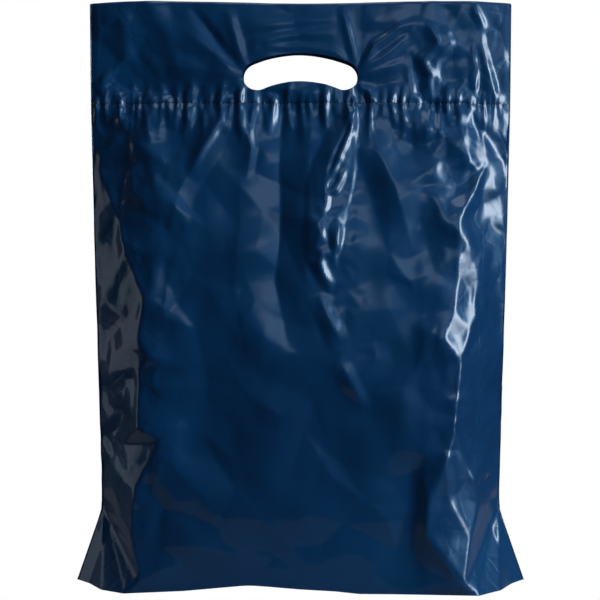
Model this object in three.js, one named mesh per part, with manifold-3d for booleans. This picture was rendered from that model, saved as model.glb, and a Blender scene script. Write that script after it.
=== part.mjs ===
// A plastic carrier bag with a punched hand hole, filled out and standing on its opened bottom gusset.
//
// One length of blown film makes the whole bag. Its top is turned over to the inside and welded along
// its lower edge, its bottom is tucked up as a gusset, and both sides are welded from top to bottom.
// When the bag is filled, the middle of the gusset spreads flat on the ground. At each end the gusset
// stays welded between the two panels, and makes a hollow, three-cornered ear.
//
// Millimetres, +Z up. The origin is on the ground, under the middle of the bag. The front panel faces -Y.
import * as THREE from "three";
import { mergeVertices } from "three/addons/utils/BufferGeometryUtils.js";
import Module from "manifold-3d";

// The film. It is drawn 0.6 mm thick, so that a solid can hold it, and is 0.05 mm thick on a real bag.
const FILM = 0.6;

// The bag as it stands.
const HEIGHT = 518;
const HEM_DEPTH = 91;
const EAR_HEIGHT = 63;
const EAR_TIP = 200;
const BASE_HALF_WIDTH = 151;
const BASE_HALF_DEPTH = 60;

// Level sections of the bag, from the ground to the mouth. edge is half the width between the side
// welds. corner and shoulder are the two points, as [half width, half depth], where a panel turns from
// the side to the face, and middle is the half depth at the middle of the panel.
const SECTIONS = [
  {
    z: 0,
    edge: EAR_TIP,
    corner: [BASE_HALF_WIDTH, BASE_HALF_DEPTH],
    shoulder: [120, BASE_HALF_DEPTH],
    middle: BASE_HALF_DEPTH,
  },
  { z: EAR_HEIGHT, edge: 178, corner: [147, 48], shoulder: [126, 57], middle: 61 },
  { z: 140, edge: 181, corner: [146, 45], shoulder: [124, 54], middle: 59 },
  { z: 230, edge: 183.5, corner: [147, 39], shoulder: [122, 48], middle: 52 },
  { z: 330, edge: 186.5, corner: [150, 27], shoulder: [122, 34], middle: 38 },
  { z: HEIGHT - HEM_DEPTH, edge: 189, corner: [154, 13.5], shoulder: [120, 18], middle: 20 },
  { z: HEIGHT, edge: 190, corner: [158, 6.2], shoulder: [120, 6.9], middle: 7.2 },
];

// The hand hole: a slot that follows an arc, with round ends. The back panel hangs a little higher.
const HOLE = {
  arcRadius: 100,
  endX: 39,
  halfWidth: 12.9,
  belowTop: 58.5,
};
const BACK_HOLE_RISE = 2;

// How far a cutting solid runs past the faces that it cuts.
const OVERRUN = 5;

const wasm = await Module();
wasm.setup();

// A closed three.js geometry as a solid that can be joined and cut.
function solid(geometry) {
  const bare = new THREE.BufferGeometry();
  bare.setAttribute("position", geometry.getAttribute("position"));
  if (geometry.index) bare.setIndex(geometry.index);
  const merged = mergeVertices(bare, 1e-4);
  return new wasm.Manifold(
    new wasm.Mesh({
      numProp: 3,
      vertProperties: new Float32Array(merged.attributes.position.array),
      triVerts: new Uint32Array(merged.index.array),
    }),
  );
}

// A solid as a three.js geometry.
function geometryOf(made) {
  const mesh = made.getMesh();
  const geometry = new THREE.BufferGeometry();
  geometry.setAttribute("position", new THREE.BufferAttribute(mesh.vertProperties, 3));
  geometry.setIndex(new THREE.BufferAttribute(mesh.triVerts, 1));
  geometry.computeVertexNormals();
  return geometry;
}

// The bag's level section at height z, as a polygon that runs from the left weld along the front.
function sectionAt(z) {
  const last = SECTIONS.length - 2;
  const found = SECTIONS.findIndex((s, i) => i > last || SECTIONS[i + 1].z >= z);
  const low = SECTIONS[Math.min(found, last)];
  const high = SECTIONS[Math.min(found, last) + 1];
  const share = (z - low.z) / (high.z - low.z);
  const mix = (a, b) => a + (b - a) * share;
  const edge = mix(low.edge, high.edge);
  const middle = mix(low.middle, high.middle);
  const [corner, shoulder] = ["corner", "shoulder"].map((name) =>
    low[name].map((value, i) => mix(value, high[name][i])),
  );
  const front = [
    [-edge, 0],
    [-corner[0], -corner[1]],
    [-shoulder[0], -shoulder[1]],
    [0, -middle],
    [shoulder[0], -shoulder[1]],
    [corner[0], -corner[1]],
  ];
  const back = front.map(([x, y]) => [-x, -y]);
  return [...front, ...back].map(([x, y]) => new THREE.Vector2(x, y));
}

// A convex polygon with every side moved inwards by a distance.
function shrunk(polygon, distance) {
  const count = polygon.length;
  return polygon.map((point, i) => {
    const before = point.clone().sub(polygon[(i + count - 1) % count]).normalize();
    const after = polygon[(i + 1) % count].clone().sub(point).normalize();
    const inwards = new THREE.Vector2(-before.y - after.y, before.x + after.x).normalize();
    const reach = distance / (inwards.x * -after.y + inwards.y * after.x);
    return point.clone().addScaledVector(inwards, reach);
  });
}

// A closed solid through level rings, lowest first. Each ring is {z, polygon}. A side face is split
// along the diagonal that climbs to the wider point, so that each ear is one flat triangle.
function loft(rings) {
  const count = rings[0].polygon.length;
  const positions = rings.flatMap(({ z, polygon }) => polygon.flatMap((p) => [p.x, p.y, z]));
  const index = [];
  for (let ring = 0; ring + 1 < rings.length; ring++) {
    const upper = rings[ring + 1].polygon;
    for (let i = 0; i < count; i++) {
      const next = (i + 1) % count;
      const [a, b] = [ring * count + i, ring * count + next];
      const [c, d] = [b + count, a + count];
      if (Math.abs(upper[i].x) > Math.abs(upper[next].x)) index.push(a, b, d, b, c, d);
      else index.push(a, b, c, a, c, d);
    }
  }
  const top = (rings.length - 1) * count;
  for (let i = 1; i + 1 < count; i++) {
    index.push(0, i + 1, i);
    index.push(top, top + i, top + i + 1);
  }
  const geometry = new THREE.BufferGeometry();
  geometry.setAttribute("position", new THREE.Float32BufferAttribute(positions, 3));
  geometry.setIndex(index);
  return solid(geometry);
}

// The bag's outside, as if it were solid.
function outside() {
  return loft(SECTIONS.map(({ z }) => ({ z, polygon: sectionAt(z) })));
}

// The space inside the film. It is narrower by one more layer of film where the hem is turned over.
function inside() {
  const hem = HEIGHT - HEM_DEPTH;
  const panel = SECTIONS.filter(({ z }) => z > 0 && z <= hem).map(({ z }) => z);
  const single = [FILM, ...panel].map((z) => ({ z, polygon: shrunk(sectionAt(z), FILM) }));
  const double = [hem + FILM, HEIGHT, HEIGHT + OVERRUN].map((z) => ({
    z,
    polygon: shrunk(sectionAt(Math.min(z, HEIGHT)), 2 * FILM),
  }));
  return loft([...single, ...double]);
}

// Everything past the sloping end of the gusset, which runs up from the ends of the base to the top of
// an ear. side is 1 on the right and -1 on the left, and raised moves the slope into the bag.
function pastGussetEnd(side, raised) {
  const foot = new THREE.Vector2(BASE_HALF_WIDTH, 0);
  const head = new THREE.Vector2(SECTIONS[1].edge, EAR_HEIGHT);
  const along = head.clone().sub(foot).normalize();
  const lift = new THREE.Vector2(-along.y, along.x).multiplyScalar(raised);
  const low = foot.clone().addScaledVector(along, -OVERRUN).add(lift);
  const high = head.clone().addScaledVector(along, OVERRUN).add(lift);
  const far = EAR_TIP + OVERRUN;
  const outline = new THREE.Shape([low, new THREE.Vector2(far, low.y), new THREE.Vector2(far, high.y), high]);
  const depth = 2 * (BASE_HALF_DEPTH + OVERRUN);
  const block = new THREE.ExtrudeGeometry(outline, { depth, bevelEnabled: false });
  block.translate(0, 0, -depth / 2);
  block.rotateX(Math.PI / 2);
  if (side < 0) block.rotateZ(Math.PI);
  return solid(block);
}

// The hollow under an ear, open to the ground. Panel and gusset lie together there, two films thick.
function earHollow(side) {
  const rings = [-OVERRUN, EAR_HEIGHT].map((z) => ({
    z,
    polygon: shrunk(sectionAt(z), 2 * FILM),
  }));
  return loft(rings).intersect(pastGussetEnd(side, 0));
}

// The hand hole through one panel, as a solid to cut with. facing is -1 for the front panel.
function handHole(facing, rise) {
  const { arcRadius, endX, halfWidth, belowTop } = HOLE;
  const half = Math.asin(endX / arcRadius);
  const crown = HEIGHT - belowTop + rise;
  const centre = new THREE.Vector2(0, crown - arcRadius);
  const up = Math.PI / 2;
  const end = (turn, radius) =>
    new THREE.Vector2(Math.cos(up + turn), Math.sin(up + turn)).multiplyScalar(radius).add(centre);
  const right = end(-half, arcRadius);
  const left = end(half, arcRadius);
  const outline = new THREE.Shape();
  outline.absarc(centre.x, centre.y, arcRadius + halfWidth, up - half, up + half, false);
  outline.absarc(left.x, left.y, halfWidth, up + half, up + half + Math.PI, false);
  outline.absarc(centre.x, centre.y, arcRadius - halfWidth, up + half, up - half, true);
  outline.absarc(right.x, right.y, halfWidth, up - half - Math.PI, up - half, false);
  const depth = BASE_HALF_DEPTH;
  const cutter = new THREE.ExtrudeGeometry(outline, { depth, bevelEnabled: false, curveSegments: 12 });
  cutter.rotateX(Math.PI / 2);
  if (facing > 0) cutter.translate(0, depth, 0);
  return solid(cutter);
}

function bag() {
  const space = inside().subtract(pastGussetEnd(1, FILM)).subtract(pastGussetEnd(-1, FILM));
  const film = outside()
    .subtract(space)
    .subtract(earHollow(1))
    .subtract(earHollow(-1))
    .subtract(handHole(-1, 0))
    .subtract(handHole(1, BACK_HOLE_RISE));
  const navy = new THREE.MeshStandardMaterial({ color: 0x0a2f57, roughness: 0.28, metalness: 0 });
  const mesh = new THREE.Mesh(geometryOf(film), navy);
  mesh.name = "bag";
  return mesh;
}

const carrierBag = new THREE.Group();
carrierBag.add(bag());

export default carrierBag;
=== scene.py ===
import math

import bmesh
import bpy
import numpy as np
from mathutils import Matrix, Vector
from mathutils.bvhtree import BVHTree
from mathutils.geometry import delaunay_2d_cdt
from mathutils.kdtree import KDTree


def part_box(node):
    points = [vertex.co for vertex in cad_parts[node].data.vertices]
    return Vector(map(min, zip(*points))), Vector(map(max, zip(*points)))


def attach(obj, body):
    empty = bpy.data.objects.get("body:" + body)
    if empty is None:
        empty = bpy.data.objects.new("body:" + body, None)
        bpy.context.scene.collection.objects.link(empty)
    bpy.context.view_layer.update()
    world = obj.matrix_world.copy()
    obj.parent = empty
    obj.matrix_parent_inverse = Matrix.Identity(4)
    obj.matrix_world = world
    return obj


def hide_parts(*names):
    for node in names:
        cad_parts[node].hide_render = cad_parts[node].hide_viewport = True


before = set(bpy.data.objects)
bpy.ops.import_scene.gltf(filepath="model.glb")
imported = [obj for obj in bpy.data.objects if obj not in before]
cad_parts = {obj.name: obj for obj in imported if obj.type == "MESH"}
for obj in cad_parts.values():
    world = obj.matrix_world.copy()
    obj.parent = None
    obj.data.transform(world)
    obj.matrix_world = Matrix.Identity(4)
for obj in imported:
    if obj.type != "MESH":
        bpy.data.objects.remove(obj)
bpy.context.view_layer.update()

scene = bpy.context.scene


# ---- The sleeve ----------------------------------------------------------------------------------------
# The body of the bag is one sleeve of blown polyethylene film: a front panel, a back panel, and a bottom
# gusset that was tucked up between them. The sides are welded through every layer, so when the bag is
# filled the gusset spreads flat on the ground and each welded end stands out as an ear.
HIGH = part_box("bag")[1]
HEIGHT = HIGH.z
EAR_TIP = HIGH.x
EAR_HEIGHT = 0.063
EAR_TOP = 0.178
HEM_SEAM = HEIGHT - 0.091
BASE_HALF_WIDTH = 0.151
BASE_HALF_DEPTH = 0.060

# The sleeve's outline at each height: height, the weld's distance from the middle, then how far out and
# how far forward the film turns at the corner and at the shoulder, and the depth at the middle.
OUTLINE = np.array(
    [
        (0, EAR_TIP, BASE_HALF_WIDTH, BASE_HALF_DEPTH, 0.120, BASE_HALF_DEPTH, BASE_HALF_DEPTH),
        (EAR_HEIGHT, EAR_TOP, 0.147, 0.048, 0.126, 0.057, 0.061),
        (0.140, 0.181, 0.146, 0.045, 0.124, 0.054, 0.059),
        (0.230, 0.1835, 0.147, 0.039, 0.122, 0.048, 0.052),
        (0.330, 0.1865, 0.150, 0.027, 0.122, 0.034, 0.038),
        (HEM_SEAM, 0.189, 0.154, 0.0135, 0.120, 0.018, 0.020),
        (HEIGHT, 0.190, 0.158, 0.0062, 0.120, 0.0069, 0.0072),
    ]
)

# The film is worked as a net. Each half of a panel has columns across its middle, its shoulder and its
# cheek, and its rows run from the bottom fold past the top of the ears to the mouth. They lie closer
# together along the hem's seam.
MIDDLE, SHOULDER, CHEEK = 56, 13, 26
HALF_COLUMNS = MIDDLE + SHOULDER + CHEEK
EAR_ROWS = 16
ROW_HEIGHTS = np.concatenate(
    [
        np.linspace(0, EAR_HEIGHT, EAR_ROWS + 1),
        np.linspace(EAR_HEIGHT, HEM_SEAM - 0.03, 81)[1:],
        np.linspace(HEM_SEAM - 0.03, HEM_SEAM + 0.03, 25)[1:],
        np.linspace(HEM_SEAM + 0.03, HEIGHT, 17)[1:],
    ]
)
ROWS = len(ROW_HEIGHTS) - 1
SEAM_ROW = EAR_ROWS + 80 + 12


def mixed(a, b, share):
    """The points between a and b."""
    return a + (b - a) * share[:, None]


def outline(z):
    """The weld, corner, shoulder and middle of the right half of the outline at each height, as points."""
    values = [np.interp(z, OUTLINE[:, 0], OUTLINE[:, i]) for i in range(1, 7)]
    weld, corner_x, corner_y, shoulder_x, shoulder_y, middle_y = values
    zero = np.zeros_like(z)
    return (
        np.stack([weld, zero, z], 1),
        np.stack([corner_x, -corner_y, z], 1),
        np.stack([shoulder_x, -shoulder_y, z], 1),
        np.stack([zero, -middle_y, z], 1),
    )


def depth_at(x, z):
    """How far forward of the weld the outline stands at a point seen from the front."""
    weld, corner, shoulder, middle = [p[0] for p in outline(np.array([float(z)]))]
    return -np.interp(abs(x), [0, shoulder[0], corner[0], weld[0]], [middle[1], shoulder[1], corner[1], 0])


def on_panel(column, row):
    """Points of the right half of the front panel, for columns from the middle and rows from the fold."""
    z = np.interp(row, np.arange(ROWS + 1), ROW_HEIGHTS)
    weld, corner, shoulder, middle = outline(z)
    across = mixed(middle, shoulder, np.clip(column / MIDDLE, 0, 1))
    turned = mixed(shoulder, corner, np.clip((column - MIDDLE) / SHOULDER, 0, 1))
    share = np.clip((column - MIDDLE - SHOULDER) / CHEEK, 0, 1)
    cheek = mixed(corner, weld, share)
    # Below the top of the ears, the film outside the crease from the ear's top to the base belongs to the
    # ear, and the film inside it to the cheek.
    up = row / EAR_ROWS
    top_weld, top_corner = outline(np.full_like(z, EAR_HEIGHT))[:2]
    foot_tip, foot = outline(np.zeros_like(z))[:2]
    crease = mixed(foot, top_weld, share)
    fold = mixed(foot, foot_tip, share)
    head = mixed(top_corner, top_weld, share)
    ear = mixed(fold, crease, np.clip(up / np.maximum(share, 1e-6), 0, 1))
    lower_cheek = mixed(crease, head, np.clip((up - share) / np.maximum(1 - share, 1e-6), 0, 1))
    low = np.where((up < share)[:, None], ear, lower_cheek)
    cheek = np.where((up < 1)[:, None], low, cheek)
    face = np.where((column <= MIDDLE)[:, None], across, turned)
    return np.where((column <= MIDDLE + SHOULDER)[:, None], face, cheek)


def on_gusset(column, row):
    """Points of the right half of the gusset, for rows from the front fold to the back fold."""
    up = np.minimum(row, 2 * EAR_ROWS - row) / EAR_ROWS
    zero = np.zeros_like(column)
    front = on_panel(column, zero)
    share = np.clip((column - MIDDLE - SHOULDER) / CHEEK, 0, 1)
    crease = mixed(outline(zero)[1], outline(zero + EAR_HEIGHT)[0], share)
    crease = np.where((share > 0)[:, None], crease, front)
    ear = mixed(front, crease, np.clip(up / np.maximum(share, 1e-6), 0, 1))
    ear[:, 1] *= np.where(row > EAR_ROWS, -1, 1)
    across = np.clip((row / EAR_ROWS - share) / np.maximum(2 - 2 * share, 1e-6), 0, 1)
    wall = mixed(crease, crease * [1, -1, 1], across)
    return np.where((up < share)[:, None], ear, wall)


def smoothed(points, passes):
    """A net's points, each drawn towards its neighbours along both directions. Its edges stay."""
    points = points.copy()
    for _ in range(passes):
        points[1:-1] += (points[:-2] - 2 * points[1:-1] + points[2:]) / 4
        points[:, 1:-1] += (points[:, :-2] - 2 * points[:, 1:-1] + points[:, 2:]) / 4
    return points


# Where the sides are pushed together, the film buckles into flat facets between sharp creases. Each crease
# is a route over the front panel, in millimetres from the middle and from the ground, with how far it
# stands proud of the outline. The first routes are on the right cheek, the others on the left.
CREASES = [
    [
        (154, 427, 1), (169, 374, 6), (140, 320, 7), (137, 293, 6), (139, 270, 5), (134, 241, 5),
        (124, 218, 6), (137, 213, 4), (139, 196, 5), (132, 136, 6), (124, 111, 7), (110, 83, 8),
        (106, 53, 7), (139, 10, 6), (151, 0, 0),
    ],
    [
        (140, 320, 7), (148, 304, 3), (159, 286, 4), (148, 272, 3), (155, 256, 4), (155, 237, 6),
        (149, 226, 5), (137, 213, 4),
    ],
    [(149, 397, 6), (141, 386, 7), (152, 375, 5), (169, 374, 6)],
    [(152, 375, 5), (141, 352, -2), (128, 338, 0)],
    [(132, 136, 5), (151, 94, 3), (156, 74, 4), (178, 63, 0)],
    [(110, 83, 8), (128, 79, 2), (145, 76, -3), (146, 47, 2), (139, 10, 6)],
    [(124, 111, 7), (138, 100, 0), (145, 76, -3)],
    [(106, 53, 7), (146, 47, 2), (156, 74, 4)],
    [(178, 63, 0), (139, 10, 6)],
    [(154, 427, 1), (163, 405, 3), (187, 373, 1)],
    [(184, 359, 1), (176, 341, 0), (183, 328, 1)],
    [(172, 300, 1), (166, 230, -1), (164, 170, 1), (170, 120, 2)],
    [(-186, 413, 1), (-180, 398, 3), (-150, 391, 4), (-117, 369, 3), (-121, 348, 1)],
    [(-180, 369, 1), (-150, 371, -1), (-117, 369, 3)],
    [(-180, 369, 1), (-175, 353, 4), (-162, 317, 5), (-155, 292, 5), (-137, 251, 4)],
    [(-179, 257, 3), (-155, 233, -2), (-137, 251, 4)],
    [
        (-155, 233, -2), (-141, 218, 2), (-132, 201, 4), (-141, 189, 2), (-155, 178, -2), (-141, 140, 5),
        (-156, 125, -3),
    ],
    [(-121, 130, 3), (-156, 125, -3)],
    [(-158, 166, -2), (-156, 125, -3)],
    [(-156, 125, -3), (-143, 86, 4), (-146, 68, 3), (-146, 46, 3), (-138, 12, 2), (-151, 0, 0)],
    [(-178, 63, 0), (-138, 12, 2)],
    [
        (-185, 341, 0), (-181, 322, 2), (-183, 300, 0), (-181, 274, 2), (-179, 257, 3), (-181, 242, 1),
        (-180, 212, 0),
    ],
    [(-176, 192, 2), (-180, 151, 0), (-179, 124, 1), (-171, 108, 3), (-166, 88, 2), (-160, 70, 2)],
]
CHEEK_START = 0.094


def draped(x, z, points, edges):
    """The depth at each point of a sheet of flat facets through points (across, up, depth) and creases."""
    flat, _, faces, origins, _, _ = delaunay_2d_cdt([Vector(p[:2]) for p in points], edges, [], 0, 1e-5)
    depths = [points[o[0]][2] if o else depth_at(q.x, q.y) for o, q in zip(origins, flat)]
    tree = BVHTree.FromPolygons([(q.x, -depth, q.y) for q, depth in zip(flat, depths)], faces)
    found = []
    for px, pz in zip(x.ravel(), z.ravel()):
        hit = tree.ray_cast(Vector((px, -1, pz)), Vector((0, 1, 0)))[0]
        found.append(-hit.y if hit else np.nan)
    return np.array(found).reshape(x.shape)


def crumpled(x, z):
    """How far forward of the weld the creased cheeks stand, seen from the front at each point."""
    weld_heights = [0, EAR_HEIGHT, *np.arange(0.09, 0.52, 0.03), HEIGHT]
    start_heights = [0, *np.arange(0.03, 0.50, 0.04), HEIGHT]
    points, edges = [], []

    def add(px, pz, proud):
        key = (round(px, 5), round(pz, 5))
        for i, (qx, qz, _) in enumerate(points):
            if (round(qx, 5), round(qz, 5)) == key:
                return i
        points.append((px, pz, depth_at(px, pz) + proud if pz > 0 else depth_at(px, pz)))
        return len(points) - 1

    for route in CREASES:
        ids = [add(px / 1000, pz / 1000, proud / 1000) for px, pz, proud in route]
        edges += list(zip(ids[:-1], ids[1:]))
    for side in (-1, 1):
        welded = [add(side * outline(np.array([h]))[0][0][0], h, 0) for h in weld_heights]
        edges += list(zip(welded[:-1], welded[1:]))
        inner = [add(side * CHEEK_START, h, 0) for h in start_heights]
        edges += list(zip(inner[:-1], inner[1:]))
        edges.append((add(side * BASE_HALF_WIDTH, 0, 0), add(side * EAR_TIP, 0, 0)))
        edges.append((add(side * BASE_HALF_WIDTH, 0, 0), add(side * CHEEK_START, 0, 0)))
        top = [add(side * px, HEIGHT, 0) for px in (CHEEK_START, 0.120, 0.158, 0.190)]
        edges += list(zip(top[:-1], top[1:]))
    return draped(x, z, points, edges)


def nearest(x, z, route):
    """Distance from each point to a route, signed by its side, and the place along it from 0 to 1."""
    route = np.array(route, float) / 1000
    steps = np.diff(route, axis=0)
    lengths = np.hypot(steps[:, 0], steps[:, 1])
    starts = np.concatenate([[0], np.cumsum(lengths)])
    best = np.full(x.shape, 1e9)
    side = np.ones_like(best)
    place = np.zeros_like(best)
    for (ax, az), (dx, dz), length, start in zip(route, steps, lengths, starts):
        share = np.clip(((x - ax) * dx + (z - az) * dz) / length**2, 0, 1)
        ox, oz = x - ax - share * dx, z - az - share * dz
        away = np.hypot(ox, oz)
        closer = away < best
        best = np.where(closer, away, best)
        side = np.where(closer, np.sign(dx * oz - dz * ox), side)
        place = np.where(closer, (start + share * length) / starts[-1], place)
    return best * side, place


def crest(x, z, height, right, left, route, taper=0.3):
    """A fold along a route that runs down: its height, and its reach to the right and left, in metres."""
    away, place = nearest(x, z, route)
    reach = np.where(away > 0, right, left)
    across = np.clip(1 - np.abs(away) / reach, 0, 1)
    # The fold is sharp at its ridge and eases out at its foot.
    across = across**1.25 * (1.25 - 0.25 * across)
    ends = np.clip(np.minimum(place, 1 - place) / taper, 0, 1)
    return height * across * ends**0.7


# The folds of the front panel's middle and of its hem, in millimetres: height, reach to the right and to
# the left, then the route down the panel as seen from the front.
FOLDS = [
    (3.6, 9, 12, [(14, 256), (20, 245), (24, 236), (35, 214)]),
    (2.4, 9, 12, [(30, 200), (38, 190), (44, 178), (56, 156)]),
    (2.0, 14, 18, [(62, 215), (66, 200), (50, 182), (40, 170)]),
    (2.6, 6, 9, [(-66, 427), (-76, 401), (-88, 383), (-97, 362)]),
    (3.6, 16, 20, [(-70, 418), (-90, 378), (-108, 346), (-114, 305)]),
    (2.2, 6, 9, [(-52, 427), (-51, 407), (-43, 386), (-48, 358)]),
    (-8.0, 26, 36, [(-14, 440), (-19, 374), (-17, 321), (-22, 268), (-10, 205)]),
    (4.2, 26, 22, [(59, 427), (66, 391), (83, 351), (99, 290)]),
    (1.8, 8, 10, [(89, 427), (92, 380)]),
    (1.8, 7, 10, [(114, 427), (111, 390)]),
    (1.8, 8, 10, [(142, 427), (152, 392)]),
    (2.2, 34, 40, [(-60, 300), (-40, 250), (-70, 180)]),
    (2.6, 40, 40, [(70, 260), (95, 200), (80, 120)]),
    (-2.4, 40, 40, [(-100, 270), (-80, 180), (-95, 100)]),
    (-2.2, 40, 34, [(0, 195), (20, 130), (10, 70)]),
    (3.4, 6, 9, [(107, 502), (118, 493), (124, 479), (110, 465), (116, 452), (112, 430)]),
    (3.6, 8, 12, [(126, 494), (133, 480), (121, 464), (118, 450)]),
    (2.7, 6, 12, [(161, 490), (167, 462), (178, 428)]),
    (1.8, 4, 7, [(154, 480), (158, 457), (156, 428)]),
    (1.8, 4, 6, [(154, 517), (166, 495)]),
    (3.0, 9, 5, [(110, 502), (89, 495), (66, 479), (50, 451)]),
    (2.4, 9, 6, [(109, 498), (80, 474), (50, 451)]),
    (1.8, 7, 6, [(94, 465), (70, 456), (51, 449)]),
    (1.8, 5, 5, [(50, 446), (59, 438), (71, 422)]),
    (1.8, 5, 6, [(37, 516), (46, 479), (50, 455)]),
    (2.7, 14, 14, [(-112, 498), (-68, 464), (-50, 451)]),
    (-2.4, 7, 8, [(-100, 516), (-70, 476), (-50, 454)]),
    (2.1, 7, 8, [(-66, 514), (-56, 479), (-49, 456)]),
    (1.8, 12, 12, [(-142, 466), (-81, 456), (-51, 449)]),
    (1.8, 5, 5, [(-51, 447), (-65, 437), (-79, 422)]),
    (1.8, 4, 4, [(-50, 446), (-54, 434), (-56, 420)]),
    (1.4, 4, 4, [(-42, 472), (-29, 478), (0, 479), (30, 474), (45, 464)]),
    (1.7, 8, 6, [(-49, 466), (-38, 482), (0, 490), (32, 491)]),
    (1.4, 8, 6, [(-58, 490), (-35, 497), (0, 501), (32, 504)]),
    (1.8, 8, 8, [(-150, 475), (-172, 456), (-189, 436)]),
]


# The tuck that hangs from the hem under the hand hole is crushed flat into facets. Each route is a ridge,
# a valley or the tuck's outline, in millimetres, with how far it stands proud of the panel.
TUCK = [
    [
        (48, 434, 0), (46, 424, 2.5), (39, 404, 4), (28, 382, 4.8), (23, 367, 5), (23, 356, 5),
        (23, 344, 5), (22, 333, 5), (20, 324, 4.5), (14, 316, 4), (18, 309, 4.5), (13, 297, 3.5),
        (19, 290, 4),
    ],
    [(47, 421, 1.8), (42, 403, 3), (32, 381, 3.8), (27, 367, 3.8), (23, 356, 5)],
    [(48, 434, 0), (48, 424, 3), (45, 404, 5.2), (36, 382, 6.5), (30, 367, 6), (23, 356, 5)],
    [(51, 424, 0.8), (49, 404, 2.6), (41, 383, 3.4), (35, 367, 3)],
    [
        (52, 412, 0.6), (48, 382, 1.2), (48, 367, 1.2), (46, 356, 1.2), (44, 344, 1.2), (41, 334, 1.2),
        (38, 316, 0.4),
    ],
    [(42, 368, 2), (35, 356, 4.5), (30, 347, 5), (23, 344, 5)],
    [(40, 356, 1.6), (35, 346, 2), (28, 342, 2), (27, 332, 2)],
    [(31, 359, 2), (24, 349, 3)],
    [(20, 324, 4.5), (31, 325, 4), (33, 315, 4), (31, 302, 4), (29, 290, 2), (19, 290, 4)],
    [(23, 316, 1.5), (23, 309, 0.6), (24, 300, 1.2)],
    [(19, 290, 4), (16, 283, 4.6), (21, 270, 3.6), (27, 256, 0)],
    [(23, 286, 0.8), (28, 272, 0.2)],
    [
        (48, 434, 0), (55, 424, 0), (54, 412, 0), (50.4, 382, 0), (50, 367, 0), (48, 356, 0), (46, 344, 0),
        (43, 334, 0), (40, 315, 0), (37, 303, 0), (35, 292, 0), (31, 277, 0), (31, 265, 0), (27, 256, 0),
    ],
    [
        (48, 434, 0), (38, 424, 0), (21, 397, 0), (11, 374, 0), (4, 352, 0), (3, 330, 0), (2, 308, 0),
        (4, 286, 0), (15, 265, 0), (27, 256, 0),
    ],
]


def tucked(x, z):
    """How far proud of the panel the crushed tuck stands, seen from the front at each point."""
    points, edges = [], []
    for route in TUCK:
        for point in route:
            if point not in points:
                points.append(point)
        ids = [points.index(point) for point in route]
        edges += list(zip(ids[:-1], ids[1:]))
    points = [(px / 1000, pz / 1000, proud / 1000) for px, pz, proud in points]
    return np.nan_to_num(draped(x, z, points, edges))


def panel_points(facing, rows, columns, passes):
    """A panel's net at fractional rows and columns: the outline, with its creased cheeks."""
    column, row = np.meshgrid(columns - HALF_COLUMNS, rows)
    points = on_panel(np.abs(column.ravel()), row.ravel())
    points[:, 0] *= np.sign(column.ravel())
    points = points.reshape(*column.shape, 3)
    # The turn from the face to the cheek is rounded, except at the base.
    share = np.clip((points[:, :, 2] - 0.02) / 0.10, 0, 1)[:, :, None]
    points += (smoothed(points, passes) - points) * share
    x, z = points[:, :, 0] * -facing, points[:, :, 2]
    # The back's creases are the front's, stretched upwards a little.
    if facing > 0:
        z = np.where(z > 0, z * 0.95 + 0.012 * np.clip(z / 0.1, 0, 1), 0)
    reach = np.clip((np.abs(x) - CHEEK_START) / 0.012, 0, 1)
    creased = crumpled(x, z)
    use = (np.abs(column) < HALF_COLUMNS) & (row > 0) & (reach > 0) & np.isfinite(creased)
    depth = -points[:, :, 1]
    depth = smoothed(np.where(use, depth + (np.nan_to_num(creased) - depth) * reach, depth), 1)
    points[:, :, 1] = depth * facing
    return points


def folded(points, facing):
    """A panel's net with the long folds of its middle and its hem, and with the crushed tuck."""
    x, z = points[:, :, 0] * -facing, points[:, :, 2]
    lift = tucked(x, z)
    for height, right, left, route in FOLDS:
        lift += crest(x, z, height / 1000, right / 1000, left / 1000, route)
    fade = np.clip((HEIGHT + 0.01 - z) / 0.02, 0, 1) * np.clip(z / 0.02, 0, 1)
    points = points.copy()
    points[:, :, 1] += lift * fade * np.clip((0.188 - np.abs(x)) / 0.008, 0, 1) * facing
    return points


def gusset_points():
    """The gusset's net."""
    column, row = np.meshgrid(np.arange(-HALF_COLUMNS, HALF_COLUMNS + 1), np.arange(2 * EAR_ROWS + 1))
    points = on_gusset(np.abs(column.ravel()).astype(float), row.ravel().astype(float))
    points[:, 0] *= np.sign(column.ravel())
    return points.reshape(*column.shape, 3)


def net(bm, points, outwards):
    """Adds a net of film through a grid of points, with its faces turned outwards."""
    rows, columns = points.shape[0] - 1, points.shape[1] - 1
    made = bmesh.ops.create_grid(bm, x_segments=columns, y_segments=rows, size=1, calc_uvs=True)["verts"]
    for vert, point in zip(made, points.reshape(-1, 3)):
        vert.co = point
    faces = list({f for v in made for f in v.link_faces})
    for face in faces:
        face.normal_update()
        face.smooth = True
    if sum(f.normal.dot(outwards) for f in faces) < 0:
        bmesh.ops.reverse_faces(bm, faces=faces)
    for edge in {e for f in faces for e in f.edges if e.is_boundary}:
        edge.smooth = False


FRONT, BACK, DOWN = Vector((0, -1, 0)), Vector((0, 1, 0)), Vector((0, 0, -1))
ALL_ROWS, ALL_COLUMNS = np.arange(ROWS + 1.0), np.arange(2 * HALF_COLUMNS + 1.0)
nets = [panel_points(facing, ALL_ROWS, ALL_COLUMNS, 40) for facing in (-1, 1)] + [gusset_points()]
bm = bmesh.new()
for points, outwards in zip(nets, (FRONT, BACK, DOWN)):
    net(bm, points, outwards)
bmesh.ops.remove_doubles(bm, verts=bm.verts, dist=0.0002)
sleeve_mesh = bpy.data.meshes.new("sleeve")
bm.to_mesh(sleeve_mesh)
bm.free()
sleeve = bpy.data.objects.new("sleeve", sleeve_mesh)
scene.collection.objects.link(sleeve)

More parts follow.
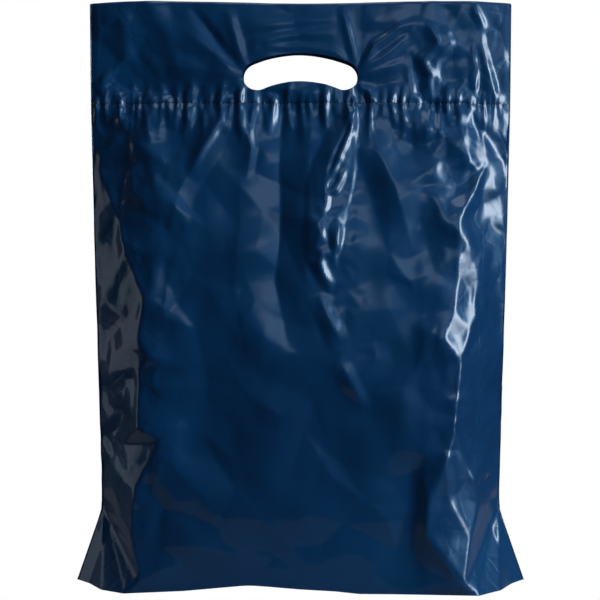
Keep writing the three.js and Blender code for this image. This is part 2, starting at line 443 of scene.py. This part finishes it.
# The film is a little looser than the shape that the filling gives it, across the bag under the hem most
# of all, and the hem's weld draws it in. It settles as cloth with a light push from inside.
rest = np.zeros(len(sleeve_mesh.vertices) * 3)
sleeve_mesh.vertices.foreach_get("co", rest)
rest = rest.reshape(-1, 3)
tree = KDTree(len(rest))
for i, point in enumerate(rest):
    tree.insert(point, i)
tree.balance()
places = []
for points in nets:
    found = [tree.find(point)[1] for point in points.reshape(-1, 3)]
    places.append(np.array(found).reshape(points.shape[:2]))

x, y, z = rest.T
weld_x = np.interp(z, OUTLINE[:, 0], OUTLINE[:, 1])
from_weld = weld_x - np.abs(x)
on_base = np.zeros(len(rest), bool)
on_base[places[2].ravel()] = True
cheek = np.clip(1 - (from_weld - 0.030) / 0.035, 0, 1)
seam = np.clip(1 - np.abs(z - HEM_SEAM) / 0.004, 0, 1)
ear = np.clip((EAR_HEIGHT + 0.02 - z) / 0.03, 0, 1) * np.clip(1 - (from_weld - 0.05) / 0.02, 0, 1)
HELD_BY_FILLING, HELD_BY_GUSSET = 0.03, 0.5
held = np.maximum(HELD_BY_FILLING, HELD_BY_GUSSET * ear)
held[on_base | (z > HEIGHT - 1e-4)] = 1
held[(np.abs(y) < 1e-5) & (from_weld < 1e-4)] = 1

# How much the film shrinks as it settles, as a share of its length. Below zero it is slack.
LEAST, MOST = -0.05, 0.08
ON_FACE, ON_CHEEK, ON_SEAM = -0.004, -0.014, 0.06
shrink = ON_FACE + ON_CHEEK * cheek * (1 - ear)
shrink = shrink * (1 - seam) + ON_SEAM * seam
shrink_share = np.clip((shrink - LEAST) / (MOST - LEAST), 0, 1)


def group(name, weights):
    """A named weight on each point of the sleeve."""
    made = sleeve.vertex_groups.new(name=name)
    for i, weight in enumerate(weights):
        made.add([i], float(weight), "REPLACE")


group("held", held)
group("shrink", shrink_share)

# The film starts with faint random ripples, so that it has somewhere to buckle.
RIPPLE = 0.0005
noise = np.random.default_rng(7)
start = rest.copy()
loose = (held < 0.4).astype(float)
ripple = smoothed(noise.normal(0, 1, (ROWS + 1, 2 * HALF_COLUMNS + 1, 1)), 6)
ripple *= RIPPLE / ripple.std()
start[places[0].ravel(), 1] += (loose[places[0]] * ripple[:, :, 0]).ravel()
start[places[1].ravel(), 1] += (loose[places[1]] * ripple[::-1, :, 0]).ravel()
sleeve_mesh.vertices.foreach_set("co", start.ravel())
sleeve_mesh.update()
sleeve.shape_key_add(name="standing")
wide = sleeve.shape_key_add(name="cut")
heights = [0, 0.10, 0.25, 0.40, HEM_SEAM, 0.46, HEIGHT]
looseness = 1 + np.interp(z, heights, [0, 0.003, 0.008, 0.012, 0.012, 0.006, 0.003])
cut = rest.copy()
cut[:, 0] *= looseness
wide.data.foreach_set("co", cut.ravel())

cloth = sleeve.modifiers.new("film", "CLOTH")
settings = cloth.settings
settings.quality = 5
settings.mass = 0.1
settings.tension_stiffness = 30
settings.compression_stiffness = 30
settings.shear_stiffness = 15
settings.bending_model = "ANGULAR"
settings.bending_stiffness = 1.5
settings.air_damping = 3
settings.use_pressure = True
settings.uniform_pressure_force = 0.1
settings.effector_weights.gravity = 0
settings.vertex_group_mass = "held"
settings.pin_stiffness = 1
settings.vertex_group_shrink = "shrink"
settings.shrink_min = LEAST
settings.shrink_max = MOST
settings.rest_shape_key = wide
cloth.collision_settings.use_collision = False
cloth.collision_settings.use_self_collision = False
FRAMES = 16
scene.frame_start, scene.frame_end = 1, FRAMES
for number in range(1, FRAMES + 1):
    scene.frame_set(number)
settled_object = sleeve.evaluated_get(bpy.context.evaluated_depsgraph_get())
settled_mesh = settled_object.to_mesh()
settled = np.zeros(len(settled_mesh.vertices) * 3)
settled_mesh.vertices.foreach_get("co", settled)
settled = settled.reshape(-1, 3)
settled_object.to_mesh_clear()
bpy.data.objects.remove(sleeve)


def ear_share(x, z):
    """1 in the ears and close to them, where the gusset keeps the film flat, and 0 away from them."""
    return np.clip((0.095 - z) / 0.03, 0, 1) * np.clip((np.abs(x) - 0.12) / 0.02, 0, 1)


# The middle of a panel keeps only the long waves that the film settled into, and the cheeks keep more.
KEPT = 0.6


def relaxed(points, place):
    """How far each point of a net moves as the film settles."""
    moved = settled[place] - points
    x, z = np.abs(points[:, :, :1]), points[:, :, 2:]
    crumple = np.clip((x - 0.10) / 0.03, 0, 1)
    moved = smoothed(moved, 16) * KEPT * (1 - crumple) + smoothed(moved, 4) * KEPT * crumple
    return moved * (1 - ear_share(x, z))


# ---- The panels ----------------------------------------------------------------------------------------
# The front and back panels: film 0.05 mm thick, navy right through, with the gloss of blown polyethylene.
# Their lower edges fold into the gusset, and the hem's weld gathers their upper edges into small puckers.
FILM = 0.0003

film = bpy.data.materials.new("navy_film")
film.use_nodes = True
nodes, links = film.node_tree.nodes, film.node_tree.links
shader = nodes["Principled BSDF"]
shader.inputs["Roughness"].default_value = 0.36
shader.inputs["Specular IOR Level"].default_value = 0.7
shader.inputs["Specular Tint"].default_value = (0.32, 0.66, 1.0, 1)
shader.inputs["Coat Weight"].default_value = 0.55
shader.inputs["Coat Roughness"].default_value = 0.075


def math_node(operation, *values, clamp=False):
    """A sum on values and sockets, as a node's output."""
    node = nodes.new("ShaderNodeMath")
    node.operation = operation
    node.use_clamp = clamp
    for socket, value in zip(node.inputs, values):
        if isinstance(value, bpy.types.NodeSocket):
            links.new(value, socket)
        else:
            socket.default_value = value
    return node.outputs[0]


# The film's map gives its place on the cut sheet, in metres: the weld's dots lie on it in one row.
cut_map = nodes.new("ShaderNodeUVMap")
cut_map.uv_map = "cut"
cut_place = nodes.new("ShaderNodeSeparateXYZ")
links.new(cut_map.outputs[0], cut_place.inputs[0])
on_bag = nodes.new("ShaderNodeTexCoord")
bag_place = nodes.new("ShaderNodeSeparateXYZ")
links.new(on_bag.outputs["Object"], bag_place.inputs[0])

# The weld's line wanders a little, and its dots are a little wider than the gaps between them.
DOT_PITCH, DOT_HEIGHT, SEAM_WANDER = 0.0030, 0.0015, 0.004
unsteady = nodes.new("ShaderNodeTexNoise")
unsteady.inputs["Scale"].default_value = 90
links.new(cut_map.outputs[0], unsteady.inputs["Vector"])
seam_line = math_node("MULTIPLY_ADD", unsteady.outputs["Fac"], SEAM_WANDER, HEM_SEAM - SEAM_WANDER / 2)
off_line = math_node("ABSOLUTE", math_node("SUBTRACT", cut_place.outputs[1], seam_line))
on_line = math_node("SUBTRACT", 1, math_node("DIVIDE", off_line, DOT_HEIGHT), clamp=True)
beat = math_node("SINE", math_node("MULTIPLY", cut_place.outputs[0], 2 * math.pi / DOT_PITCH))
dots = math_node("MULTIPLY", on_line, math_node("MULTIPLY_ADD", beat, 1.4, 0.1, clamp=True))

# The film is crazed with fine creases, most of all where the sides are pushed together.
crazing = nodes.new("ShaderNodeTexVoronoi")
crazing.feature = "DISTANCE_TO_EDGE"
crazing.inputs["Scale"].default_value = 42
bent = nodes.new("ShaderNodeTexNoise")
bent.inputs["Scale"].default_value = 30
bent.inputs["Detail"].default_value = 4
links.new(on_bag.outputs["Object"], bent.inputs["Vector"])
shifted = nodes.new("ShaderNodeVectorMath")
shifted.operation = "MULTIPLY_ADD"
shifted.inputs[1].default_value = (0.02, 0.02, 0.02)
links.new(bent.outputs["Color"], shifted.inputs[0])
links.new(on_bag.outputs["Object"], shifted.inputs[2])
links.new(shifted.outputs[0], crazing.inputs["Vector"])
lines = math_node("MINIMUM", crazing.outputs["Distance"], 0.10)
at_side = math_node("MULTIPLY_ADD", math_node("ABSOLUTE", bag_place.outputs[0]), 22, -2.3, clamp=True)
crazed = math_node("MULTIPLY", lines, math_node("MULTIPLY_ADD", at_side, 1.0, 0.12))
pits = math_node("MULTIPLY", dots, -0.25)
waves = math_node("MULTIPLY", bent.outputs["Fac"], math_node("MULTIPLY_ADD", at_side, 0.35, 0.12))
relief = math_node("ADD", math_node("MULTIPLY", crazed, 1.3), math_node("ADD", pits, waves))
bump = nodes.new("ShaderNodeBump")
bump.inputs["Strength"].default_value = 1.0
bump.inputs["Distance"].default_value = 0.001
links.new(relief, bump.inputs["Height"])
links.new(bump.outputs[0], shader.inputs["Normal"])

# The navy is even, a little thinner and brighter in broad clouds, and darker in the weld's dots.
NAVY_DEEP, NAVY_THIN = (0.0004, 0.034, 0.125, 1), (0.0008, 0.050, 0.168, 1)
NAVY_DOT = (0.0004, 0.006, 0.020, 1)
clouds = nodes.new("ShaderNodeTexNoise")
clouds.inputs["Scale"].default_value = 9
clouds.inputs["Detail"].default_value = 3
links.new(on_bag.outputs["Object"], clouds.inputs["Vector"])
tone = nodes.new("ShaderNodeMix")
tone.data_type = "RGBA"
tone.inputs[6].default_value = NAVY_DEEP
tone.inputs[7].default_value = NAVY_THIN
thin = math_node("MULTIPLY_ADD", clouds.outputs["Fac"], 2.4, -0.7, clamp=True)
links.new(thin, tone.inputs[0])
shade = nodes.new("ShaderNodeMix")
shade.data_type = "RGBA"
shade.inputs[7].default_value = NAVY_DOT
links.new(math_node("MULTIPLY", dots, 0.9, clamp=True), shade.inputs[0])
links.new(tone.outputs[2], shade.inputs[6])
links.new(shade.outputs[2], shader.inputs["Base Color"])


def finer(points, rows, columns):
    """The net's points at fractional rows and columns, on smooth curves through its own points."""
    for axis, at in ((0, rows), (1, columns)):
        points = np.moveaxis(points, axis, 0)
        last = len(points) - 1
        below = np.minimum(np.floor(at).astype(int), last - 1)
        share = (at - below)[:, None, None]
        before, after = points[np.maximum(below - 1, 0)], points[np.minimum(below + 2, last)]
        here, there = points[below], points[below + 1]
        curve = 2 * before - 5 * here + 4 * there - after + share * (3 * (here - there) + after - before)
        points = here + 0.5 * share * (there - before + share * curve)
        points = np.moveaxis(points, 0, axis)
    return points


def gathered(points, facing, seed):
    """A net of a panel with the puckers that the hem's weld makes above and below it."""
    draw = np.random.default_rng(seed)
    x, z = points[:, :, 0] * -facing, points[:, :, 2]
    lift = np.zeros_like(x)
    end = 0.185
    place = -end
    while place < end:
        width = draw.uniform(0.0022, 0.0050)
        strong = draw.uniform() < 0.4
        height = width * (draw.uniform(0.7, 1.0) if strong else draw.uniform(0.25, 0.6))
        lean = draw.uniform(-0.18, 0.18)
        below, above = draw.uniform(0.012, 0.045), draw.uniform(0.006, 0.024)
        for reach, down in ((below, 1), (above, -1)):
            away = down * (HEM_SEAM - z)
            along = np.clip(away / reach, 0, 1)
            across = np.clip(1 - np.abs(x - place - lean * away) / (width * (1 + along)), 0, 1)
            rise = np.clip(0.75 + away / 0.012, 0, 1) * (1 - along) ** 0.8
            lift += np.where(away >= 0, height * across**1.3 * rise, 0)
        place += width * draw.uniform(0.9, 2.2)
    points = points.copy()
    points[:, :, 1] += lift * np.clip((0.188 - np.abs(x)) / 0.004, 0, 1) * facing
    return points


def piece(name, points, outwards, thickness=0):
    """A piece of film on a net of points, with its cut size as its map and any thickness turned inwards."""
    bm = bmesh.new()
    net(bm, points, outwards)
    mesh = bpy.data.meshes.new(name)
    bm.to_mesh(mesh)
    bm.free()
    made = bpy.data.objects.new(name, mesh)
    scene.collection.objects.link(made)
    mesh.materials.append(film)
    across = np.broadcast_to(np.linspace(-0.19, 0.19, points.shape[1]), points.shape[:2])
    flat = np.stack([across, points[:, :, 2]], 2).reshape(-1, 2)
    corners = np.empty(len(mesh.loops), int)
    mesh.loops.foreach_get("vertex_index", corners)
    mesh.uv_layers.new(name="cut").data.foreach_set("uv", flat[corners].ravel())
    if thickness:
        wall = made.modifiers.new("thickness", "SOLIDIFY")
        wall.thickness = thickness
        wall.offset = -1
    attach(made, "root")
    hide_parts("bag")
    return made


COLUMNS = np.linspace(0, 2 * HALF_COLUMNS, 241)
PANEL_ROWS = np.concatenate(
    [
        np.linspace(0, EAR_ROWS, 23),
        np.linspace(EAR_ROWS, SEAM_ROW - 32, 109)[1:],
        np.linspace(SEAM_ROW - 32, SEAM_ROW, 61)[1:],
    ]
)
HEM_ROWS = np.linspace(SEAM_ROW, ROWS, 45)
SEAM = len(PANEL_ROWS) - 1


# Each ear curls forward along its weld, and has a low ridge from its top to the fold.
EAR_CURL, EAR_RIDGE = 0.007, 0.26


def stood(points):
    """Points of the film as its foot stands: a corner forward, the front fold lifted and the ears bent."""
    x, y, z = points[..., 0], points[..., 1], points[..., 2]
    front = np.clip(-y / 0.058, 0, 1)
    forward = np.interp(x, [0, 0.08, BASE_HALF_WIDTH, 0.200], [0, 0.0025, 0.008, 0])
    lifted_at = [-0.152, -0.10, -0.045, -0.030, 0.0, 0.03, 0.05]
    lift = np.interp(x, lifted_at, [0, 0.0022, 0.0070, 0.0060, 0.0035, 0.002, 0])
    points = points.copy()
    points[..., 1] -= forward * front * np.clip(1 - z / 0.16, 0, 1) ** 1.5
    edge = np.interp(z, [0, EAR_HEIGHT], [EAR_TIP, EAR_TOP])
    curled = np.clip(1 - (edge - np.abs(x)) / 0.013, 0, 1) * np.clip((0.072 - z) / 0.03, 0, 1)
    points[..., 1] -= EAR_CURL * curled
    inner = np.interp(z, [0, EAR_HEIGHT], [BASE_HALF_WIDTH, EAR_TOP])
    width = np.maximum(edge - inner, 1e-6)
    across = np.clip((np.abs(x) - inner) / width, 0, 1)
    points[..., 1] += EAR_RIDGE * width * np.minimum(across / 0.45, (1 - across) / 0.55) * np.sign(y)
    points[..., 2] += lift * front**3 * np.clip(1 - z / 0.05, 0, 1)
    return points


def facets(x, z, spacing, seed):
    """A sheet of flat facets between random creases, with a standard height of 1."""
    draw = np.random.default_rng(seed)
    across, up = np.meshgrid(np.arange(-0.40, 0.40, spacing), np.arange(-0.14, 0.66, spacing))
    across = across + draw.uniform(-0.4, 0.4, across.shape) * spacing
    up = up + draw.uniform(-0.4, 0.4, up.shape) * spacing
    # The sheet is drawn a tenth as high, so that it stays within the reach of the draping.
    height = draw.normal(0, 0.1, up.shape)
    corners = np.stack([across.ravel(), up.ravel(), height.ravel()], 1)
    return draped(x, z, corners.tolist(), []) * 10


# How high the soft dents stand, and the flat facets at the sides, at the upper right, in the crushed tuck
# and in broad sheets all over.
DENT, SIDE_FACET, UPPER_FACET, TUCK_FACET, BROAD_FACET = 0.0013, 0.0008, 0.0006, 0.0005, 0.0010


def dented(points, facing, seed):
    """A panel's net with the dents that hands leave in loose film: soft ones, and flat facets."""
    draw = np.random.default_rng(seed)
    dents = draw.normal(0, DENT, (20, 15, 1))
    x, z = points[:, :, 0] * -facing, points[:, :, 2]
    depth = finer(dents, np.linspace(0, 19, points.shape[0]), np.linspace(0, 14, points.shape[1]))[:, :, 0]
    depth *= np.clip((0.15 - np.abs(x)) / 0.04, 0, 1) * np.clip((HEIGHT - z) / 0.10, 0.25, 1)
    at_side = np.clip((np.abs(x) - 0.10) / 0.03, 0, 1)
    upper_right = np.clip((x - 0.03) / 0.05, 0, 1) * np.clip((z - 0.30) / 0.12, 0, 1)
    facet = SIDE_FACET * at_side + UPPER_FACET * upper_right * (1 - at_side)
    depth += facets(x, z, 0.014, seed + 1) * facet
    in_tuck = np.clip(1 - np.abs(x - 0.034) / 0.028, 0, 1) * np.clip((z - 0.19) / 0.06, 0, 1)
    depth += facets(x, z, 0.008, seed + 3) * TUCK_FACET * in_tuck * np.clip((HEM_SEAM - z) / 0.02, 0, 1)
    # The broad facets are stretched along lines that run down to the left.
    depth += facets(x + 0.6 * (z - 0.25), z - 0.3 * x, 0.030, seed + 2) * BROAD_FACET
    fade = (1 - ear_share(x, z)) * np.clip(z / 0.04, 0, 1) * np.clip((0.189 - np.abs(x)) / 0.006, 0, 1)
    points = points.copy()
    points[:, :, 1] += depth * fade * facing
    return points


def finished(facing, net_points, place, seed):
    """A whole panel's fine net: its creases, how it settled, its dents, folds and gathers, and its foot."""
    rows = np.concatenate([PANEL_ROWS, HEM_ROWS[1:]])
    points = panel_points(facing, rows, COLUMNS, 90) + finer(relaxed(net_points, place), rows, COLUMNS)
    return stood(gathered(folded(dented(points, facing, seed), facing), facing, seed))


front = finished(-1, nets[0], places[0], 10)
back = finished(1, nets[1], places[1], 12)
piece("front_panel", front[: SEAM + 1], FRONT, FILM)
piece("back_panel", back[: SEAM + 1], BACK, FILM)


# ---- The hem -------------------------------------------------------------------------------------------
# At the mouth each panel is turned over to the inside and welded down, which doubles the film where the
# hand hole is punched. The hole's ends pull the hem into folds that fan out from them.
HEM_GAP = 0.0007
MOUTH_WAVE, WAVE_LENGTH = 0.0013, 0.27
BACK_HOLE_RISE = 0.002
HOLE_ARC, HOLE_END, HOLE_HALF_WIDTH, HOLE_CROWN = 0.100, 0.039, 0.0129, HEIGHT - 0.0585


def hole_cutter(rise):
    """The hand hole as a solid: an arc-shaped slot with round ends, drawn as one outline and extruded."""
    bm = bmesh.new()
    half = math.asin(HOLE_END / HOLE_ARC)
    centre = Vector((0, 0, HOLE_CROWN + rise - HOLE_ARC))
    ends = [centre + HOLE_ARC * Vector((side * math.sin(half), 0, math.cos(half))) for side in (1, -1)]
    outwards = (ends[0] - centre).normalized()
    last = bm.verts.new(ends[0] + HOLE_HALF_WIDTH * outwards)
    arc, end = 2 * half, math.pi
    turns = ((centre, -arc, 32), (ends[1], -end, 16), (centre, arc, 32), (ends[0], -end, 16))
    for middle, angle, steps in turns:
        turned = bmesh.ops.spin(bm, geom=[last], cent=middle, axis=(0, 1, 0), angle=angle, steps=steps)
        last = turned["geom_last"][0]
    bmesh.ops.remove_doubles(bm, verts=bm.verts, dist=1e-5)
    face = bmesh.ops.contextual_create(bm, geom=bm.edges)["faces"]
    bmesh.ops.translate(bm, verts=bm.verts, vec=(0, -0.05, 0))
    pushed = bmesh.ops.extrude_face_region(bm, geom=face)["geom"]
    far_end = [v for v in pushed if isinstance(v, bmesh.types.BMVert)]
    bmesh.ops.translate(bm, verts=far_end, vec=(0, 0.1, 0))
    bmesh.ops.recalc_face_normals(bm, faces=bm.faces)
    mesh = bpy.data.meshes.new("punch")
    bm.to_mesh(mesh)
    bm.free()
    made = bpy.data.objects.new("punch", mesh)
    scene.collection.objects.link(made)
    return made


def hem_points(points, facing):
    """The hem's strip: up the outside, over the mouth and down the inside."""
    outer = points[SEAM:].copy()
    x, z = outer[:, :, 0], outer[:, :, 2]
    up = np.clip((z - HEM_SEAM) / (HEIGHT - HEM_SEAM), 0, 1)
    outer[:, :, 2] += MOUTH_WAVE * up * np.cos(2 * math.pi * (x + 0.13) / WAVE_LENGTH)
    room = np.clip((0.190 - np.abs(x)) / 0.006, 0, 1)
    depth = np.maximum(outer[:, :, 1] * facing, 0.0012 * room)
    outer[:, :, 1] = depth * facing
    inner = outer[::-1].copy()
    inner[:, :, 1] -= facing * HEM_GAP * room[::-1]
    over = (outer[-1:] + inner[:1]) / 2 + [0, 0, HEM_GAP / 2]
    return np.concatenate([outer, over, inner])


for name, points, facing, outwards in (("front_hem", front, -1, FRONT), ("back_hem", back, 1, BACK)):
    made = piece(name, hem_points(points, facing), outwards, FILM * 0.8)
    cutter = hole_cutter(BACK_HOLE_RISE if facing > 0 else 0)
    punch = made.modifiers.new("punch", "BOOLEAN")
    punch.object = cutter
    punch.operation = "DIFFERENCE"
    punch.solver = "EXACT"
    whole = bpy.data.meshes.new_from_object(made.evaluated_get(bpy.context.evaluated_depsgraph_get()))
    made.modifiers.clear()
    made.data = whole
    whole.name = name
    bpy.data.objects.remove(cutter)


# ---- The gusset ----------------------------------------------------------------------------------------
# The bottom gusset is the same film, folded up between the panels when the bag is flat. Filled, its
# middle lies flat on the ground, and at each end it stays welded up between the panels in the ear.
GUSSET_ROWS = np.linspace(0, 2 * EAR_ROWS, 45)
CLEAR_OF_PANEL, CLEAR_OF_SLOPE = 0.0010, 0.0008


def gusset_inside(points):
    """The gusset's net, with its layers in the ears drawn in from the panels that they lie against."""
    points = points.copy()
    past = np.clip((np.abs(points[:, :, 0]) - BASE_HALF_WIDTH) / 0.002, 0, 1)
    near = np.clip(np.abs(points[:, :, 1]) / 0.004, 0, 1)
    points[:, :, 1] -= np.sign(points[:, :, 1]) * CLEAR_OF_PANEL * past * near
    points[:, :, 2] -= CLEAR_OF_SLOPE * past * np.clip(points[:, :, 2] / 0.004, 0, 1)
    return points


piece("gusset", stood(gusset_inside(finer(nets[2], GUSSET_ROWS, COLUMNS))), DOWN, FILM)


# ---- The side welds ------------------------------------------------------------------------------------
# A hot knife cuts and welds each side through every layer from the mouth to the tip of the ear, and
# leaves a fine hard bead of melted film along the edge.
BEAD = 0.0007
for name, side in (("left_weld", 0), ("right_weld", -1)):
    line = front[:, side]
    turn = np.linspace(0, 2 * math.pi, 9)
    ring = np.stack([np.cos(turn), np.sin(turn), 0 * turn], 1) * BEAD
    bead = line[:, None] + ring[None]
    piece(name, bead, Vector((0, 0, 0)))


# ---- The studio ----------------------------------------------------------------------------------------
# The bag stands on white paper in a white room, both of which look white and give back little light. Soft
# lamps light it: a tall key on the right, a card above the front, weak ones on the left and above, and one
# behind. The camera is level, at about the middle of the bag's height.
FLOOR_HALF_WIDTH, FLOOR_HALF_DEPTH, FLOOR_MIDDLE = 0.5, 0.78, 0.45
bm = bmesh.new()
bmesh.ops.create_grid(bm, x_segments=1, y_segments=1, size=1)
floor_mesh = bpy.data.meshes.new("floor")
for vert in bm.verts:
    vert.co = (vert.co.x * FLOOR_HALF_WIDTH, FLOOR_MIDDLE + vert.co.y * FLOOR_HALF_DEPTH, -0.0005)
bm.to_mesh(floor_mesh)
bm.free()
floor = bpy.data.objects.new("floor", floor_mesh)
scene.collection.objects.link(floor)
paper = bpy.data.materials.new("paper")
paper.use_nodes = True
nodes, links = paper.node_tree.nodes, paper.node_tree.links
nodes.clear()
output = nodes.new("ShaderNodeOutputMaterial")
mix = nodes.new("ShaderNodeMixShader")
white = nodes.new("ShaderNodeEmission")
white.inputs["Strength"].default_value = 1.0
grey = nodes.new("ShaderNodeBsdfDiffuse")
grey.inputs["Color"].default_value = (0.3, 0.3, 0.3, 1)
path = nodes.new("ShaderNodeLightPath")
links.new(path.outputs["Is Camera Ray"], mix.inputs[0])
links.new(grey.outputs[0], mix.inputs[1])
links.new(white.outputs[0], mix.inputs[2])
links.new(mix.outputs[0], output.inputs["Surface"])
floor_mesh.materials.append(paper)

world = bpy.data.worlds.new("room")
scene.world = world
world.use_nodes = True
nodes, links = world.node_tree.nodes, world.node_tree.links
nodes.clear()
output = nodes.new("ShaderNodeOutputWorld")
mix = nodes.new("ShaderNodeMixShader")
path = nodes.new("ShaderNodeLightPath")
dark = nodes.new("ShaderNodeBackground")
dark.inputs["Color"].default_value = (0.02, 0.021, 0.024, 1)
bright = nodes.new("ShaderNodeBackground")
bright.inputs["Color"].default_value = (1, 1, 1, 1)
links.new(path.outputs["Is Camera Ray"], mix.inputs[0])
links.new(dark.outputs[0], mix.inputs[1])
links.new(bright.outputs[0], mix.inputs[2])
links.new(mix.outputs[0], output.inputs["Surface"])


def softbox(name, place, aim, width, height, watts, colour):
    """A rectangular lamp at a place, turned to face a point."""
    lamp = bpy.data.lights.new(name, "AREA")
    lamp.shape = "RECTANGLE"
    lamp.size = width
    lamp.size_y = height
    lamp.energy = watts
    lamp.color = colour
    made = bpy.data.objects.new(name, lamp)
    scene.collection.objects.link(made)
    made.location = place
    made.rotation_mode = "QUATERNION"
    made.rotation_quaternion = (Vector(aim) - Vector(place)).to_track_quat("-Z", "Y")
    return made


# The key and the front card are each five lamps, one in front of the next and each smaller and brighter
# than the last, so that the light they throw on the film fades at its edges.
KEY_PLACE, KEY_WIDTH, KEY_HEIGHT, KEY_WATTS = Vector((1.42, -0.74, 0.75)), 0.8, 1.45, 17
CARD_PLACE, CARD_WIDTH, CARD_HEIGHT, CARD_WATTS = Vector((0.45, -1.30, 1.05)), 1.1, 0.8, 0.95
KEY_WHITE, CARD_BLUE = (1.0, 0.985, 0.98), (0.78, 0.90, 1.0)
LAMPS = 5
for step in range(LAMPS):
    share = 1 - 0.15 * step
    strength = share**2 * (step + 1) / LAMPS
    nearer = 1 - 0.006 * step
    key_size = (KEY_WIDTH * share, KEY_HEIGHT * share)
    softbox("key", KEY_PLACE * nearer, (0, 0, 0.28), *key_size, KEY_WATTS * strength, KEY_WHITE)
    card_size = (CARD_WIDTH * share, CARD_HEIGHT * share)
    card = softbox("card", CARD_PLACE * nearer, (0, 0, 0.45), *card_size, CARD_WATTS * strength, CARD_BLUE)
    card.data.shape = "ELLIPSE"
softbox("left_card", (-1.3, 0.10, 0.33), (0, 0, 0.28), 0.55, 0.6, 0.55, (0.92, 0.95, 1.0))
softbox("top", (0.2, -0.5, 1.9), (0, 0, 0.3), 1.2, 0.6, 4, (1, 1, 1))
softbox("back_fill", (-1.2, 1.6, 1.0), (0, 0, 0.25), 0.8, 1.2, 20, (1, 1, 1))

view_camera = bpy.data.cameras.new("camera")
view_camera.lens = 73
view_camera.sensor_width = 36
camera = bpy.data.objects.new("camera", view_camera)
scene.collection.objects.link(camera)
camera.location = (-0.0005, -1.10, 0.251)
camera.rotation_euler = (math.radians(90), 0, 0)
scene.camera = camera
scene.view_settings.view_transform = "Standard"
